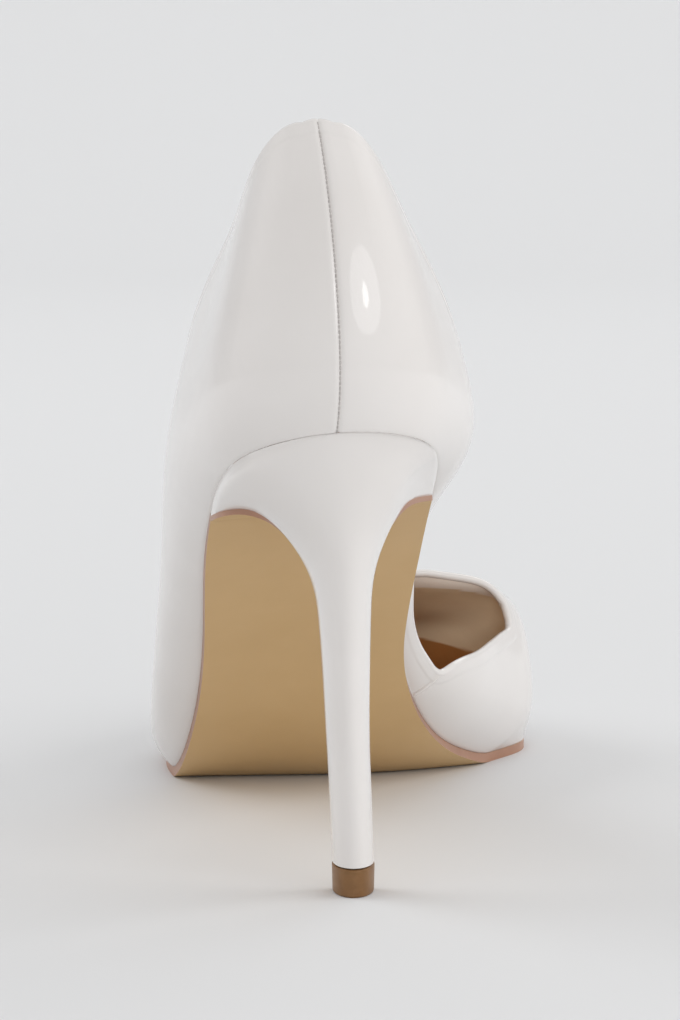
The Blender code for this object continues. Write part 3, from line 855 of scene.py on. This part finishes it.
# The seat is closed by strips from side to side, and the lower end by one face
for i in range(heel_wide // 2):
    heel_faces.append((i, i + 1, heel_wide - 2 - i, heel_wide - 1 - i))
heel_faces = [tuple(dict.fromkeys(face)) for face in heel_faces]
heel_faces.append(tuple((len(heel_rings) - 1) * heel_wide + i for i in range(heel_wide)))
heel = add_mesh("heel", np.concatenate(heel_rings), heel_faces, [white_patent("heel_patent")])
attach(heel, "root")
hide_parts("heel")

# The outsole
# A thin tan sole with a satin face and a red-brown painted edge. Behind the waist it bends down as a
# flap over the front of the heel, and it is glued on all over.
SOLE_THICKNESS = 1.8
FLAP_THICKNESS = 1.2
SKIVED_THICKNESS = 0.7
SKIVE_SPAN = 0.14
GLUE_PRESS = 0.03  # how far the glued faces are pressed into each other
SOLE_INSET = 0.05
SOLE_START = SEAT_END + 0.008
SOLE_COUNT = 130
SOLE_ACROSS = 25
FLAP_RINGS = 70
SOLE_EDGE_ROUND = 0.25
TAN_SHADE = (0.610, 0.405, 0.188)
TAN_LIGHT = (0.670, 0.455, 0.222)
EDGE_SHADE = (0.370, 0.190, 0.120)
EDGE_LIGHT = (0.430, 0.230, 0.150)


def tan_face():
    """Satin tan underside, a little uneven in colour, with a very fine grain."""
    made, shader, tree = new_material("tan_sole")
    cloud = add_noise(tree, scale=28.0, detail=5.0, roughness=0.6)
    tint = blend_colours(tree, cloud.outputs["Fac"], TAN_SHADE, TAN_LIGHT, low=0.25, high=0.75)
    tree.links.new(tint, shader.inputs["Base Color"])
    shader.inputs["Roughness"].default_value = 0.42
    shader.inputs["Specular IOR Level"].default_value = 0.4
    grain = add_noise(tree, scale=900.0, detail=4.0, roughness=0.6)
    add_bump(tree, shader, grain.outputs["Fac"], distance=0.04 * MM, strength=0.3)
    return made


def painted_edge():
    """Red-brown edge paint with a soft shine."""
    made, shader, tree = new_material("sole_edge_paint")
    cloud = add_noise(tree, scale=120.0, detail=3.0, roughness=0.5)
    tint = blend_colours(tree, cloud.outputs["Fac"], EDGE_SHADE, EDGE_LIGHT)
    tree.links.new(tint, shader.inputs["Base Color"])
    shader.inputs["Roughness"].default_value = 0.35
    grain = add_noise(tree, scale=700.0, detail=2.0, roughness=0.5)
    add_bump(tree, shader, grain.outputs["Fac"], distance=0.04 * MM, strength=0.3)
    return made


def round_edges(piece, width, segments):
    """Soften a piece's sharp edges."""
    bevel = piece.modifiers.new("soft_edges", "BEVEL")
    bevel.width = width * MM
    bevel.segments = segments
    bevel.limit_method = "ANGLE"
    bevel.angle_limit = SHARP_ANGLE
    bevel.harden_normals = False


flap_share = np.linspace(-1.0, 1.0, SOLE_ACROSS)
flap_levels = HEEL_TOP + (HEEL_END - HEEL_TOP) * np.linspace(1.0, 0.0, FLAP_RINGS) ** LEVEL_CROWDING
flap = np.array([heel_edge(level, flap_share) for level in flap_levels])
flap = flap - GLUE_PRESS * normals(flap, closed=False)
sole_at = sole_stations(SOLE_START, BOTTOM_TIP, SOLE_COUNT)
sole_front = bottom_ribs(sole_at, SOLE_ACROSS, SOLE_INSET, GAP / 2.0 + GLUE_PRESS)
sole_top = np.concatenate([flap, sole_front])
flap_thick = np.linspace(FLAP_THICKNESS, SKIVED_THICKNESS, len(flap))
sole_full = fade((sole_at - sole_at[0]) / SKIVE_SPAN)
front_thick = SKIVED_THICKNESS + (SOLE_THICKNESS - SKIVED_THICKNESS) * sole_full
sole_thick = GAP + GLUE_PRESS + np.concatenate([flap_thick, front_thick])
sole_under = sole_top + sole_thick[:, None, None] * normals(sole_top, closed=False)
sole_points = np.concatenate([sole_top.reshape(-1, 3), sole_under.reshape(-1, 3)])
sole_faces, sole_parts = plate_faces(len(sole_top), SOLE_ACROSS)
sole_surfaces = [tan_face(), painted_edge()]
on_edge = [1 if part == "edge" else 0 for part in sole_parts]
outsole = add_mesh("outsole", sole_points, sole_faces, sole_surfaces, on_edge)
round_edges(outsole, SOLE_EDGE_ROUND, segments=2)
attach(outsole, "root")
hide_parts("outsole")

# The heel tip
# A small top piece of hard brown plastic that takes the wear of the heel on the floor. It has the heel's
# round back and flat front, and is pinned up into the end of the heel, under the sole's flap as well.
TIP_WIDER = (1.04, 1.02)
TIP_TAPER = 0.97
TIP_EDGE_ROUND = 0.4
FRONT_EXACT = 0.001
TIP_SHADE = (0.185, 0.086, 0.026)
TIP_LIGHT = (0.235, 0.115, 0.038)


def brown_plastic():
    """Hard brown plastic, slightly mottled."""
    made, shader, tree = new_material("brown_tip")
    cloud = add_noise(tree, scale=400.0, detail=4.0, roughness=0.6)
    tint = blend_colours(tree, cloud.outputs["Fac"], TIP_SHADE, TIP_LIGHT)
    tree.links.new(tint, shader.inputs["Base Color"])
    shader.inputs["Roughness"].default_value = 0.4
    grain = add_noise(tree, scale=1500.0, detail=3.0, roughness=0.5)
    add_bump(tree, shader, grain.outputs["Fac"], distance=0.05 * MM, strength=0.3)
    return made


tip_ring = heel_ring(HEEL_END, heel_across, heel_depth)
tip_middle = np.array([tip_ring[:, 0].mean(), 0.0, 0.0])
at_front = np.abs(tip_ring[:, 1] - tip_ring[:, 1].max()) < FRONT_EXACT
tip_ring[:, 1] = np.where(at_front, tip_ring[:, 1] + FLAP_THICKNESS + GAP, tip_ring[:, 1])
tip_ring = (tip_ring - tip_middle) * np.array([*TIP_WIDER, 0.0]) + tip_middle
tip_low = tip_ring * np.array([TIP_TAPER, TIP_TAPER, 0.0])
tip_high = tip_ring + np.array([0.0, 0.0, TIP_HEIGHT])
tip_wide = len(tip_ring)
tip_faces = [tuple(range(tip_wide)), tuple(reversed(range(tip_wide, 2 * tip_wide)))]
for i in range(tip_wide):
    n = (i + 1) % tip_wide
    tip_faces.append((i, tip_wide + i, tip_wide + n, n))
heel_tip = add_mesh("heel_tip", np.concatenate([tip_low, tip_high]), tip_faces, [brown_plastic()])
round_edges(heel_tip, TIP_EDGE_ROUND, segments=3)
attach(heel_tip, "root")
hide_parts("heel_tip")

# The studio
# A sheet of pale grey paper, floor and wall in one sweep. A key and a small lamp at the right leave the
# bright drop on the counter, and a third shines from in front of the toe. The soft fills from behind, left
# and right and on the wall have no mirror image in the patent, and one lamp lights only lining and insole.

# Sizes and places here are metres in the part's frame
FLOOR_HALF = 6.0
WALL_DISTANCE = 1.6
WALL_HEIGHT = 3.0
SWEEP_RADIUS = 0.9
SWEEP_STEPS = 24
PAPER_GREY = (0.757, 0.760, 0.766)
AIR_STRENGTH = 0.58
SHOE_MIDDLE = (0.0, 0.0, 0.07)
COUNTER = (0.003, -0.115, 0.120)
OPENING = (0.03, 0.06, 0.03)
WALL_FOOT = (0.0, 2.1, 0.0)


def studio_sweep():
    """Floor, quarter-round sweep and wall in one sheet."""
    profile = [(-FLOOR_HALF, 0.0)]
    for k in range(SWEEP_STEPS + 1):
        angle = math.pi / 2.0 * k / SWEEP_STEPS
        y = WALL_DISTANCE + SWEEP_RADIUS * math.sin(angle)
        z = SWEEP_RADIUS * (1.0 - math.cos(angle))
        profile.append((y, z))
    profile.append((WALL_DISTANCE + SWEEP_RADIUS, WALL_HEIGHT))
    points = [(x, y, z) for y, z in profile for x in (-FLOOR_HALF, FLOOR_HALF)]
    faces = [(2 * k, 2 * k + 1, 2 * k + 3, 2 * k + 2) for k in range(len(profile) - 1)]
    mesh = bpy.data.meshes.new("studio_sweep")
    mesh.from_pydata(points, [], faces)
    mesh.shade_smooth()
    made, shader, _ = new_material("studio_paper")
    shader.inputs["Base Color"].default_value = (*PAPER_GREY, 1.0)
    shader.inputs["Roughness"].default_value = 0.75
    shader.inputs["Specular IOR Level"].default_value = 0.15
    mesh.materials.append(made)
    sweep = bpy.data.objects.new("studio_sweep", mesh)
    bpy.context.scene.collection.objects.link(sweep)
    return sweep


def soft_light(name, place_at, aim_at, size, power, mirrored):
    """Oval soft light aimed at a point, with or without a mirror image in the patent."""
    data = bpy.data.lights.new(name, "AREA")
    data.shape = "ELLIPSE"
    data.size, data.size_y = size
    data.energy = power
    lamp = bpy.data.objects.new(name, data)
    lamp.location = place_at
    lamp.rotation_euler = (Vector(aim_at) - Vector(place_at)).to_track_quat("-Z", "Y").to_euler()
    lamp.visible_glossy = mirrored
    lamp.visible_camera = False
    bpy.context.scene.collection.objects.link(lamp)
    return lamp


studio_sweep()
soft_light("key", (0.751, -0.891, 0.522), COUNTER, size=(0.58, 0.42), power=0.90, mirrored=True)
soft_light("drop", (0.720, -0.850, 0.500), COUNTER, size=(0.10, 0.11), power=0.14, mirrored=True)
soft_light("rear", (0.45, -1.75, 0.55), SHOE_MIDDLE, size=(1.4, 1.0), power=4.5, mirrored=False)
soft_light("left", (-1.7, 0.5, 1.2), SHOE_MIDDLE, size=(2.2, 1.6), power=15.0, mirrored=False)
soft_light("right", (1.8, 0.0, 1.0), SHOE_MIDDLE, size=(1.8, 1.4), power=13.0, mirrored=False)
soft_light("front", (1.0, 1.5, 1.4), SHOE_MIDDLE, size=(1.4, 0.9), power=4.0, mirrored=True)
soft_light("wash", (0.0, 1.7, 1.7), WALL_FOOT, size=(2.6, 1.2), power=5.0, mirrored=False)
inner = soft_light("inner", (-0.02, -1.75, 0.30), OPENING, size=(0.5, 0.3), power=20.0, mirrored=False)
inside = bpy.data.collections.new("inside")
for piece in (lining, insole):
    inside.objects.link(piece)
inner.light_linking.receiver_collection = inside
world = bpy.data.worlds.new("studio_air")
world.use_nodes = True
world.node_tree.nodes["Background"].inputs["Color"].default_value = (1.0, 1.0, 1.0, 1.0)
world.node_tree.nodes["Background"].inputs["Strength"].default_value = AIR_STRENGTH
bpy.context.scene.world = world
bpy.context.scene.view_settings.view_transform = "Standard"

# The camera
# Behind the heel and a little above it, as far away as in the photograph, with a long lens so that the
# shoe fills the picture.
CAMERA_PLACE = (-0.0081, -0.9074, 0.1786)
CAMERA_AIM = (-0.0015, -0.0440, 0.0698)
CAMERA_LENS = 150.0
CAMERA_SENSOR = 36.0
camera_data = bpy.data.cameras.new("camera")
camera_data.lens = CAMERA_LENS
camera_data.sensor_width = CAMERA_SENSOR
camera_data.clip_start = 0.01
camera = bpy.data.objects.new("camera", camera_data)
camera.location = CAMERA_PLACE
camera.rotation_euler = (Vector(CAMERA_AIM) - Vector(CAMERA_PLACE)).to_track_quat("-Z", "Y").to_euler()
bpy.context.scene.collection.objects.link(camera)
bpy.context.scene.camera = camera
